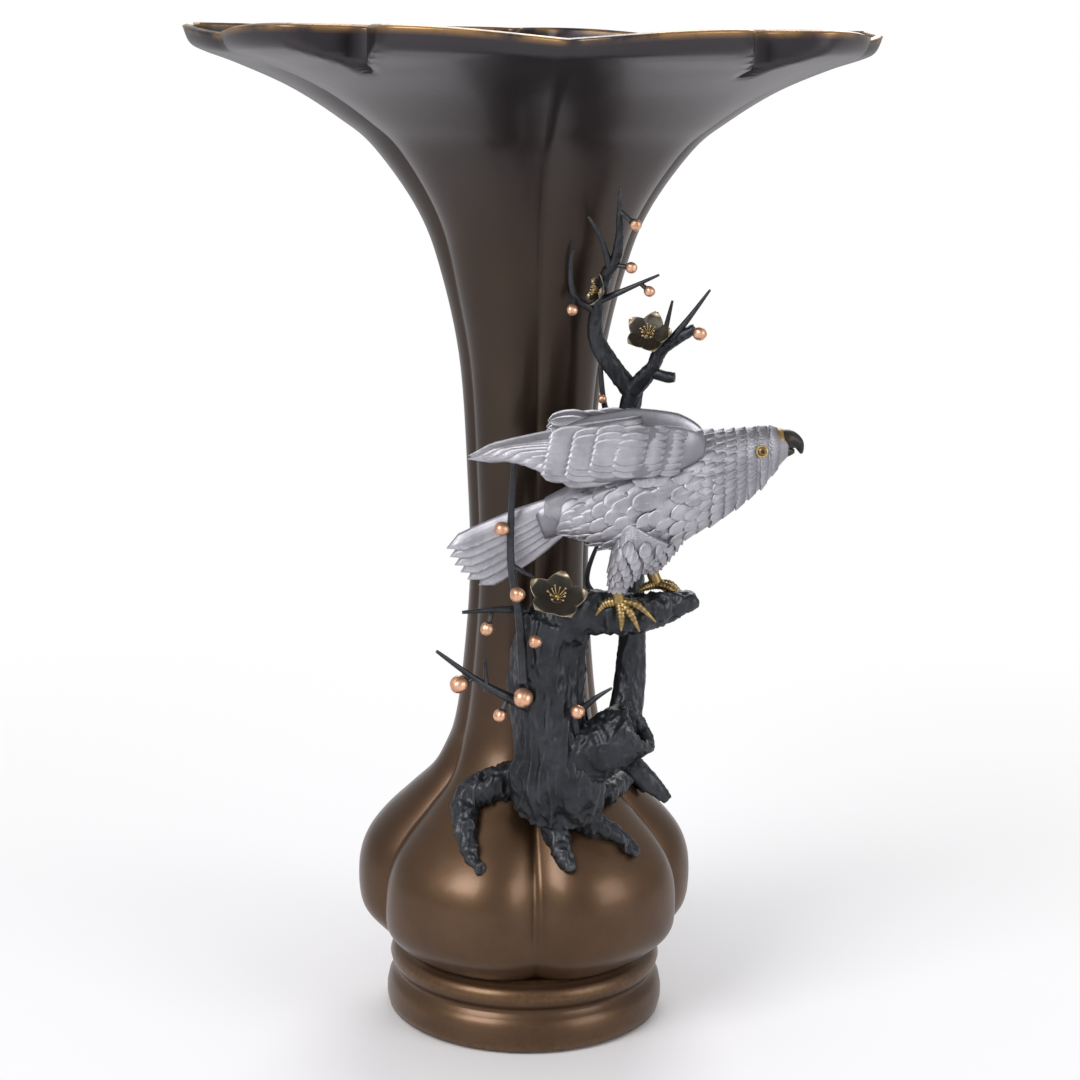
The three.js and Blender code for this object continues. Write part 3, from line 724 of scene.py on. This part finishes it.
BOUGHS = {
    "stump_root": ([(44, -56, 140), (54, -60, 130), (63, -60, 121)], [5.5, 4.5, 2.5]),
    "rear_branch": ([(42, -44, 146), (46, -36, 168), (47, -33, 205), (45, -31, 245), (42, -32, 280),
                     (45, -37, 304)], [8, 7, 5.5, 5, 5, 4.5]),
    "left_bough": ([(44, -36, 301), (34, -37, 314), (28, -37, 325), (28, -40, 338), (31, -45, 352),
                    (36, -52, 364), (36, -64, 392)], [4.5, 4, 3.6, 3.2, 2.8, 2.2, 0.5]),
    "right_bough": ([(44, -38, 302), (52, -43, 312), (57, -46, 322), (70, -50, 331)], [4.2, 3.4, 2.8, 2.4]),
    "front_twig": ([(-2, -66, 176), (-4, -68, 205), (-8, -69, 231), (-8, -70, 256), (-7, -71, 277)],
                   [2.2, 1.2]),
    "front_twig_thorn": ([(-7, -69, 229), (2, -72, 225)], [1.5, 0.5]),
    "left_thorn": ([(-1, -62, 208), (-14, -66, 209), (-29, -68, 208)], [2, 0.7]),
    "diagonal_twig": ([(2, -60, 163), (-7, -64, 168), (-22, -67, 177), (-40, -70, 191)], [3, 0.7]),
    "small_twig": ([(-18, -66, 172), (-19, -68, 187)], [1.4, 0.6]),
    "right_thorn": ([(22, -58, 160), (30, -61, 168), (37, -62, 173)], [1.8, 0.5]),
    "rear_thorn": ([(44, -33, 200), (26, -36, 214), (34, -34, 240)], [2, 0.6]),
    "rear_twig": ([(43, -34, 278), (33, -36, 292), (30, -37, 312)], [1.8, 1]),
    "upper_left_thorn": ([(33, -48, 356), (29, -54, 369), (23, -58, 379)], [1.8, 0.5]),
    "curved_twig": ([(28, -40, 336), (18, -43, 344), (16, -45, 356), (17, -47, 364)], [1.8, 0.6]),
    "crossing_thorn": ([(30, -43, 342), (40, -47, 347), (54, -51, 354)], [1.8, 0.5]),
    "outer_thorn": ([(58, -47, 323), (67, -50, 335), (76, -52, 348)], [1.9, 0.5]),
    "inner_thorn": ([(56, -46, 322), (58, -49, 333), (60, -51, 343)], [1.7, 0.5]),
    "bough_stub": ([(51, -42, 311), (59, -45, 309), (62, -46, 309)], [2.8, 2.2]),
}


def cut(piece, tool_mesh):
    """Cut a hollow into a piece with a closed tool mesh."""
    bmesh.ops.recalc_face_normals(tool_mesh, faces=tool_mesh.faces)
    data = bpy.data.meshes.new("hollow")
    tool_mesh.to_mesh(data)
    tool_mesh.free()
    tool = bpy.data.objects.new("hollow", data)
    bpy.context.scene.collection.objects.link(tool)
    modifier = piece.modifiers.new("hollow", "BOOLEAN")
    modifier.operation = "DIFFERENCE"
    modifier.object = tool
    evaluated = piece.evaluated_get(bpy.context.evaluated_depsgraph_get())
    mesh = bpy.data.meshes.new_from_object(evaluated)
    piece.modifiers.clear()
    old = piece.data
    piece.data = mesh
    mesh.name = piece.name
    bpy.data.meshes.remove(old)
    bpy.data.objects.remove(tool)
    bpy.data.meshes.remove(data)


class VASE_OT_tree(bpy.types.Operator):
    """Gnarled trunk, roots, perch, broken stump, boughs and thorns"""
    bl_idname = "vase.tree"
    bl_label = "Plum tree"

    def execute(self, context):
        material = bark_material(settings_of(context))
        bm = bmesh.new()
        add_limb(bm, *TRUNK, sides=28, steps=24, knots=0.07)
        add_limb(bm, *PERCH, sides=20, steps=20, knots=0.06)
        for path, sizes in ROOTS:
            add_limb(bm, [on_vase(*p) for p in path], sizes, sides=16, steps=18, knots=0.05)
        trunk = finish_piece("tree_trunk", bm, material, ["trunk"])
        fuse(trunk, 0.9, 4, 3.4, 6.0, 3.2)
        bm = bmesh.new()
        add_limb(bm, *STUMP, sides=24, steps=12, knots=0.06)
        stump = finish_piece("hollow_stump", bm, material, ["broken_stump"])
        cup = bmesh.new()
        add_limb(cup, *STUMP_HOLLOW, sides=20, steps=8)
        cut(stump, cup)
        fuse(stump, 0.9, 2, 1.6, 3.5, 2.0)
        for name, (path, sizes) in BOUGHS.items():
            bm = bmesh.new()
            thick = max(sizes)
            add_limb(bm, path, sizes, sides=14, steps=12 * len(path), knots=0.05 if thick > 2.5 else 0)
            bough = finish_piece(f"{name}_bark", bm, material, [name])
            if thick > 3:
                fuse(bough, 0.7, 2, 0.9, 3.0, 3.0)
        return {"FINISHED"}


# Blossoms: centre, facing and radius
BLOSSOMS = {
    "front_blossom": ((12, -73, 216), (0.1, -0.6, 0.8), 13),
    "right_blossom": ((50, -50, 328), (-0.1, -0.8, 0.6), 10),
    "left_blossom": ((29, -46, 346), (-0.9, -0.3, 0.3), 7),
}
PETALS = 5
STAMENS = 11

# Buds: centre, radius and the point on the wood that carries it
BUDS = [
    ((-12, -71, 246), 3.2, (-8, -69.5, 245)), ((-5, -71, 217), 3.4, (-6, -68.5, 217)),
    ((-18, -69, 201), 3, (-16, -66.5, 208)), ((3, -71, 196), 3, (3, -62, 194)),
    ((-30, -70, 176), 4, (-24, -67.5, 178)), ((-12, -66, 161), 3, (-9, -65, 168)),
    ((22, -69, 164), 3.2, (16, -60, 163)), ((-2, -69, 170), 4.4, (0, -60, 172)),
    ((43, -61, 376), 2.6, (36, -60, 382)), ((42, -52, 357), 2.5, (34, -49, 358)),
    ((50, -52, 347), 2.4, (46, -48.5, 350)), ((17, -47, 338), 2.5, (18, -43, 343)),
    ((72, -52, 329), 3, (69, -50, 330)), ((31, -39, 298), 2, (32, -36.5, 295)),
]


def add_petal(bm, layer, turn, centre, angle, radius):
    """One cupped petal with a raised rim, as a closed shell."""
    rows = []
    for i in range(9):
        s = i / 8
        half = radius * 0.5 * math.sin(math.pi * (0.12 + 0.86 * s) ** 0.8) ** 0.7
        ring = []
        for j in range(12):
            a = 2 * math.pi * j / 12
            across = half * math.cos(a)
            lift = 0.28 * math.sin(a) + 2.6 * s * s + 0.9 * (across / (half + 0.01)) ** 2 * s
            out = radius * (0.12 + 0.9 * s)
            x = out * math.cos(angle) - across * math.sin(angle)
            y = out * math.sin(angle) + across * math.cos(angle)
            ring.append(turn @ Vector((x, y, lift)) + Vector(centre))
        rows.append(ring)
    for i, row in enumerate(add_rings(bm, rows)):
        for j, vert in enumerate(row):
            vert[layer] = 1.0 if i > 6 or (j % 6 == 0 and i > 1) else 0.0


def make_blossom(name, centre, facing, radius, settings):
    """Five petals round a cup, with two lengths of gilt stamens."""
    centre = Vector(centre)
    turn = Vector(facing).to_track_quat("Z", "Y")
    bm = bmesh.new()
    layer = bm.verts.layers.float.new("lip")
    for i in range(PETALS):
        add_petal(bm, layer, turn, centre, 2 * math.pi * i / PETALS, radius)
    add_ball(bm, turn @ Vector((0, 0, -0.6)) + centre, (radius * 0.3, radius * 0.3, 1.4), turn)
    finish_piece(f"{name}_cup", bm, petal_material(settings), [f"{name}_petals"])
    bm = bmesh.new()
    add_ball(bm, turn @ Vector((0, 0, 1.2)) + centre, (radius * 0.1, radius * 0.1, 1.2), turn)
    start = 0.05 * radius
    for i in range(STAMENS):
        a = 2 * math.pi * i / STAMENS
        reach = radius * (0.34 if i % 2 else 0.26)
        foot = turn @ Vector((start * math.cos(a), start * math.sin(a), 0.6)) + centre
        tip = turn @ Vector((reach * math.cos(a), reach * math.sin(a), 3.6)) + centre
        add_limb(bm, [foot, tip], [0.22, 0.2], sides=6, steps=3)
        add_ball(bm, tip, (0.5, 0.5, 0.5), segments=8)
    finish_piece(f"{name}_tuft", bm, gilt_material(settings), [f"{name}_stamens"])


def make_bud(number, centre, radius, wood, settings):
    """A three-lobed copper bud in a dark calyx on its short stalk."""
    centre = Vector(centre)
    away = (centre - Vector(wood)).normalized()
    turn = away.to_track_quat("Z", "Y")
    bm = bmesh.new()
    for k in range(3):
        a = 2 * math.pi * k / 3
        shift = turn @ Vector((0.16 * radius * math.cos(a), 0.16 * radius * math.sin(a), 0))
        add_ball(bm, centre + shift, (radius * 0.86, radius * 0.86, radius), turn, 16)
    petals = len(bm.faces)
    add_limb(bm, [wood, centre], [0.9, 1.2], sides=8, steps=3)
    calyx = (radius * 0.72, radius * 0.72, radius * 0.5)
    add_ball(bm, centre - away * radius * 0.62, calyx, turn, 12)
    for face in list(bm.faces)[petals:]:
        face.material_index = 1
    node_name = f"bud_{number:02d}"
    bud = finish_piece(f"copper_{node_name}", bm, copper_material(settings), [node_name])
    bud.data.materials.append(bark_material(settings))


class VASE_OT_blossoms(bpy.types.Operator):
    """Plum blossoms with gilt stamens, and the copper buds"""
    bl_idname = "vase.blossoms"
    bl_label = "Blossoms and buds"

    def execute(self, context):
        settings = settings_of(context)
        for name, (centre, facing, radius) in BLOSSOMS.items():
            make_blossom(name, centre, facing, radius, settings)
        for number, (centre, radius, wood) in enumerate(BUDS, 1):
            make_bud(number, centre, radius, wood, settings)
        return {"FINISHED"}


# Hawk: upright sections as place along X, middle height, half height, half width
HAWK = [(6, 253, 5, 6), (20, 254, 12, 10), (38, 258, 20, 16), (55, 263, 24, 18.5), (70, 266, 22.5, 17),
        (83, 270, 19, 14), (93, 274, 16, 11), (101, 278, 12.5, 9.5), (107, 281.5, 8, 7),
        (110.5, 282, 4.5, 4.5)]

# Rows of contour feathers, from behind the beak to the tail
CONTOUR_START = 106
CONTOUR_STEP = 4.6
CONTOUR_ROWS = 19

# Half widths of a thigh at hip, knee and heel, and its feathers
THIGH = [12, 8, 2.8]
THIGH_ROWS = 7
THIGH_FEATHERS = 9

# Middle of the wing's skin: place along X, reach from the hawk's middle and height, with its half widths
WING = ([(74, 13, 283), (64, 18.5, 284), (46, 21.5, 283), (28, 19, 280), (15, 15, 279)],
        [(1.6, 4), (2.4, 9), (2.6, 11.5), (2.2, 11.5), (1.4, 8)])
TAIL_TIPS = [(-36, -66, 236), (-34.5, -65, 232), (-32.5, -63.5, 228), (-30, -62, 224.5),
             (-27, -60.5, 221), (-22, -58.5, 218)]

# Legs as hip, knee, heel and sole, and toes as the joint and the claw's tip
LEGS = {
    "right": ((50, -70, 246), (43, -71, 233), (38, -71, 220), (39, -70.5, 214.5)),
    "left": ((58, -54, 246), (55, -54, 235), (53, -55, 226), (56, -56, 219)),
}
TOES = {
    "right": [((47, -72, 213), (55, -72.5, 206)), ((44, -74, 210), (48, -74, 202)),
              ((40, -74, 209), (40, -73.5, 202)), ((33, -70, 213), (29, -70, 208))],
    "left": [((62, -57, 219), (68, -58, 214)), ((62, -60, 218), (66, -64, 214)),
             ((58, -53, 218), (61, -49, 213)), ((51, -58, 218), (47, -60, 216))],
}


def add_feather(bm, layer, root, along, up, length, width, lift=0.08, thick=0.5, point=0.6):
    """A thin closed feather with a raised shaft; its own coordinates carry the barbs."""
    along = along.normalized()
    up = (up - along * up.dot(along)).normalized()
    side = along.cross(up)
    steps, half = 8, 3
    faces = {}
    for face in (1, -1):
        for i in range(steps + 1):
            s = i / steps
            past = max(0, s - point) / (1 - point)
            wide = width / 2 * min(1.0, 0.45 + 1.6 * s) * math.sqrt(max(0, 1 - past * past))
            wide = max(wide, 0.12)
            for j in range(-half, half + 1):
                c = j / half
                shaft = 0.35 * max(0, 1 - abs(c) * 3) if face > 0 else 0
                crown = (1 - c * c) * 0.1 * width
                height = (crown + shaft) * (1 - s * 0.5) + lift * length * s + (0 if face > 0 else -thick)
                co = root + along * (s * length) + side * (c * wide) + up * height
                faces[(face, i, j)] = bm.verts.new(co * MM)

    def quad(keys, uvs):
        made = bm.faces.new([faces[k] for k in keys])
        for loop, uv in zip(made.loops, uvs):
            loop[layer].uv = uv

    for i in range(steps):
        for j in range(-half, half):
            corners = [(i, j), (i, j + 1), (i + 1, j + 1), (i + 1, j)]
            uvs = [(0.5 + b / half / 2, a / steps * length / 10) for a, b in corners]
            quad([(1, a, b) for a, b in corners], uvs)
            quad([(-1, a, b) for a, b in corners[::-1]], uvs[::-1])
        for j, order in ((-half, 1), (half, -1)):
            keys = [(1, i, j), (1, i + 1, j), (-1, i + 1, j), (-1, i, j)][::order]
            quad(keys, [(0.5 + j / half / 2, i / steps * length / 10)] * 4)
    for i, order in ((0, -1), (steps, 1)):
        for j in range(-half, half):
            keys = [(1, i, j), (1, i, j + 1), (-1, i, j + 1), (-1, i, j)][::order]
            quad(keys, [(0.5 + j / half / 2, i / steps * length / 10)] * 4)


def hawk_point(x, angle, lift=0.0):
    """Point on the hawk's body at a place along X and an angle round it."""
    for (x0, *low), (x1, *high) in zip(HAWK, HAWK[1:]):
        if x <= x1:
            break
    t = (x - x0) / (x1 - x0)
    z, tall, wide = (a + (b - a) * t for a, b in zip(low, high))
    return Vector((x, HAWK_Y + (wide + lift) * math.cos(angle), z + (tall + lift) * math.sin(angle)))


def make_body(silver):
    """Body and thighs melted into one form under the feathers."""
    bm = bmesh.new()
    turns = [2 * math.pi * j / 32 for j in range(32)]
    rings = []
    for i in range(37):
        x, z, tall, wide = spline(HAWK, i / 36)
        rings.append([(x, HAWK_Y + wide * math.cos(a), z + tall * math.sin(a)) for a in turns])
    add_rings(bm, rings)
    for hip, knee, heel, _ in LEGS.values():
        add_limb(bm, [hip, knee, heel], THIGH, sides=20, steps=14)
    body = finish_piece("hawk_form", bm, silver, ["hawk_body"])
    fuse(body, 0.8, 4)
    body.data.uv_layers.new(name="feather")


def add_contour_rows(bm, layer):
    """Overlapping feathers round the head and body, larger towards the tail."""
    for row in range(CONTOUR_ROWS):
        x = CONTOUR_START - row * CONTOUR_STEP
        size = 3.2 + 6.2 * smoothstep(CONTOUR_START - x, 4, 50)
        around = max(10, int(2 * math.pi * 17 / (size * 0.72)))
        for k in range(around):
            angle = 2 * math.pi * (k + 0.5 * (row % 2)) / around
            at = hawk_point(x, angle, -0.3)
            ahead = hawk_point(x + 2, angle, -0.3)
            out = Vector((0, math.cos(angle), math.sin(angle)))
            along = (at - ahead).normalized() + Vector((0, 0, -0.12))
            wobble = random.uniform(0.9, 1.1)
            add_feather(bm, layer, at, along, out, size * 1.3 * wobble, size, 0.05, 0.45, 0.4)


def add_thigh_feathers(bm, layer, hip, knee, heel):
    """Feathers round one thigh, smaller towards the heel."""
    for row in range(THIGH_ROWS):
        t = row / THIGH_ROWS
        place = 0.15 + 0.8 * t
        centre = Vector(spline([hip, knee, heel], place))
        radius = spline([(width,) for width in THIGH], place)[0]
        for k in range(THIGH_FEATHERS):
            a = 2 * math.pi * (k + 0.5 * (row % 2)) / THIGH_FEATHERS
            out = Vector((math.cos(a), math.sin(a), 0))
            add_feather(bm, layer, centre + out * (radius - 0.2), Vector((-0.25, 0, -1)), out,
                        7.5 - 3 * t, 5.5 - 2.5 * t, 0.02, 0.45, 0.4)


def make_beak(settings):
    """Hooked beak in two halves, and the gilt cere behind it."""
    bm = bmesh.new()
    upper = [(106, HAWK_Y, 284), (111, HAWK_Y, 285), (115, HAWK_Y, 283.2), (116.6, HAWK_Y, 279)]
    lower = [(106, HAWK_Y, 280.5), (110, HAWK_Y, 280), (113.5, HAWK_Y, 280)]
    add_limb(bm, upper, [5.2, 4.4, 2.6, 0.5], sides=20, steps=18)
    add_limb(bm, lower, [3.6, 2.8, 0.8], sides=16, steps=10)
    finish_piece("hooked_beak", bm, black_material(settings), ["beak"])
    bm = bmesh.new()
    band = [(103.5, HAWK_Y, 283), (107, HAWK_Y, 284.2), (109, HAWK_Y, 284.6)]
    add_limb(bm, band, [7.6, 6.2, 4.9], sides=20, steps=6)
    finish_piece("cere", bm, gilt_material(settings))


def make_eye(side, name, settings):
    """Gilt eye with a round rim and a dark pupil."""
    bm = bmesh.new()
    centre = Vector((98.5, HAWK_Y - 10.2 * side, 281.5))
    add_ball(bm, centre, (1.9, 1.3, 1.9), segments=24)
    turn = Vector((0.2, -side, 0.1)).to_track_quat("Z", "Y")
    rim = []
    for k in range(21):
        a = 2 * math.pi * k / 20
        rim.append(centre + turn @ Vector((2.3 * math.cos(a), 2.3 * math.sin(a), 0.2)))
    for first, second in zip(rim, rim[1:]):
        add_limb(bm, [first, second], [0.5, 0.5], sides=6, steps=1)
    finish_piece(f"gilt_eye_{name}", bm, gilt_material(settings), [f"eye_{name}"])
    bm = bmesh.new()
    add_ball(bm, centre + Vector((0.2, -1.0 * side, 0)), (1.0, 0.6, 1.0), segments=16)
    finish_piece(f"pupil_{name}", bm, black_material(settings))


class VASE_OT_hawk(bpy.types.Operator):
    """Body, head, legs and contour feathers of the hawk"""
    bl_idname = "vase.hawk"
    bl_label = "Hawk"

    def execute(self, context):
        settings = settings_of(context)
        silver = silver_material(settings)
        make_body(silver)
        random.seed(7)
        bm = bmesh.new()
        layer = bm.loops.layers.uv.new("feather")
        add_contour_rows(bm, layer)
        for hip, knee, heel, _ in LEGS.values():
            add_thigh_feathers(bm, layer, hip, knee, heel)
        finish_piece("contour_feathers", bm, silver)
        make_beak(settings)
        for side, name in ((1, "right"), (-1, "left")):
            make_eye(side, name, settings)
        return {"FINISHED"}


def wing_spot(side, x, reach, z):
    """Point beside the hawk, at a reach from its middle plane."""
    return Vector((x, HAWK_Y - reach * side, z))


def add_flight_feathers(bm, layer, side, out):
    """Nine long feathers that meet in the wing's point."""
    for k in range(9):
        t = k / 8
        root = wing_spot(side, 48 - 10 * t, 19 + 2 * math.sin(math.pi * t), 290 - 18 * t)
        tip = wing_spot(side, -27 + 40 * t ** 1.3, 4 + 12 * t,
                        275.4 - 7 * t ** 2 + 3.2 * math.sin(math.pi * t))
        run = tip - root
        add_feather(bm, layer, root, run, out, run.length, 7.5, 0.0, 0.9, 0.72)


def add_coverts(bm, layer, side, out):
    """Six rows of short feathers over the wing, larger towards its point."""
    for row in range(6):
        size = 7 + 1.3 * row
        for k in range(7):
            t = k / 6
            x = 66 - 8 * row - 3 * t
            swell = math.sin(math.pi * min(max((76 - x) / 60, 0), 1))
            reach = 18.5 + 5.6 * swell * (1 - 0.35 * (2 * t - 1) ** 2)
            z = 292 - 17.5 * t + (0 if 34 < x < 66 else -1.5)
            along = Vector((-1, 0, -0.12 + 0.1 * t))
            add_feather(bm, layer, wing_spot(side, x, reach, z), along, out, size * 1.4,
                        size * 0.62, 0.05, 0.5, 0.55)


class VASE_OT_wings(bpy.types.Operator):
    """Folded wings and the fanned tail, feather by feather"""
    bl_idname = "vase.wings"
    bl_label = "Wings and tail"

    def execute(self, context):
        silver = silver_material(settings_of(context))
        path, widths = WING
        for side, name in ((1, "right"), (-1, "left")):
            bm = bmesh.new()
            layer = bm.loops.layers.uv.new("feather")
            out = Vector((0, -side, 0))
            add_limb(bm, [wing_spot(side, *p) for p in path], widths, sides=20, steps=24, across=(0, 1, 0))
            add_flight_feathers(bm, layer, side, out)
            add_coverts(bm, layer, side, out)
            finish_piece(f"folded_wing_{name}", bm, silver, [f"wing_{name}"])
        bm = bmesh.new()
        layer = bm.loops.layers.uv.new("feather")
        add_limb(bm, [(22, HAWK_Y, 254), (4, HAWK_Y, 247)], [(8, 9), (5, 9)], sides=18, steps=6,
                 across=(0, 1, 0))
        for i, tip in enumerate(TAIL_TIPS):
            root = Vector((16, HAWK_Y - 3, 259 - 2.6 * i))
            run = Vector(tip) - root
            add_feather(bm, layer, root, run, Vector((0.1, -1, 0.35)), run.length, 8.5, 0.0, 0.9, 0.8)
        finish_piece("fanned_tail", bm, silver, ["tail"])
        return {"FINISHED"}


class VASE_OT_feet(bpy.types.Operator):
    """Gilt feet with scutes and claws that grip the perch"""
    bl_idname = "vase.feet"
    bl_label = "Feet"

    def execute(self, context):
        gilt = gilt_material(settings_of(context))
        for side, (*_, heel, sole) in LEGS.items():
            bm = bmesh.new()
            add_limb(bm, [heel, sole], [2.6, 2.8], sides=14, steps=8)
            for joint, claw in TOES[side]:
                rings = limb_rings([sole, joint, claw], [2.3, 1.8, 0.35], 12, 30)
                for i, ring in enumerate(rings[:24]):
                    centre = sum((Vector(p) for p in ring), Vector()) / len(ring)
                    swell = 1.1 if i % 3 == 1 else 0.95
                    rings[i] = [centre + (Vector(p) - centre) * swell for p in ring]
                add_rings(bm, rings)
            finish_piece(f"gripping_foot_{side}", bm, gilt, [f"foot_{side}"])
        return {"FINISHED"}


class VASE_PT_panel(bpy.types.Panel):
    """Panel that lists the operators"""
    bl_idname = "VASE_PT_panel"
    bl_label = "Bronze vase"
    bl_space_type = "VIEW_3D"
    bl_region_type = "UI"
    bl_category = "Bronze vase"

    def draw(self, context):
        for operator in OPERATORS:
            self.layout.operator(operator.bl_idname)
        for name in ("bronze", "dark_bronze", "worn", "silver", "copper", "gilt", "light"):
            self.layout.prop(context.scene.vase_settings, name)


OPERATORS = (VASE_OT_stage, VASE_OT_vessel, VASE_OT_tree, VASE_OT_blossoms, VASE_OT_hawk,
             VASE_OT_wings, VASE_OT_feet)
CLASSES = (VaseSettings, *OPERATORS, VASE_PT_panel)


def register():
    """Register the classes and the settings."""
    for cls in CLASSES:
        bpy.utils.register_class(cls)
    bpy.types.Scene.vase_settings = PointerProperty(type=VaseSettings)


def unregister():
    """Take the classes and the settings away again."""
    del bpy.types.Scene.vase_settings
    for cls in reversed(CLASSES):
        bpy.utils.unregister_class(cls)


def main():
    """Build every piece."""
    register()
    for operator in OPERATORS:
        group, name = operator.bl_idname.split(".")
        getattr(getattr(bpy.ops, group), name)()


if __name__ == "__main__":
    main()
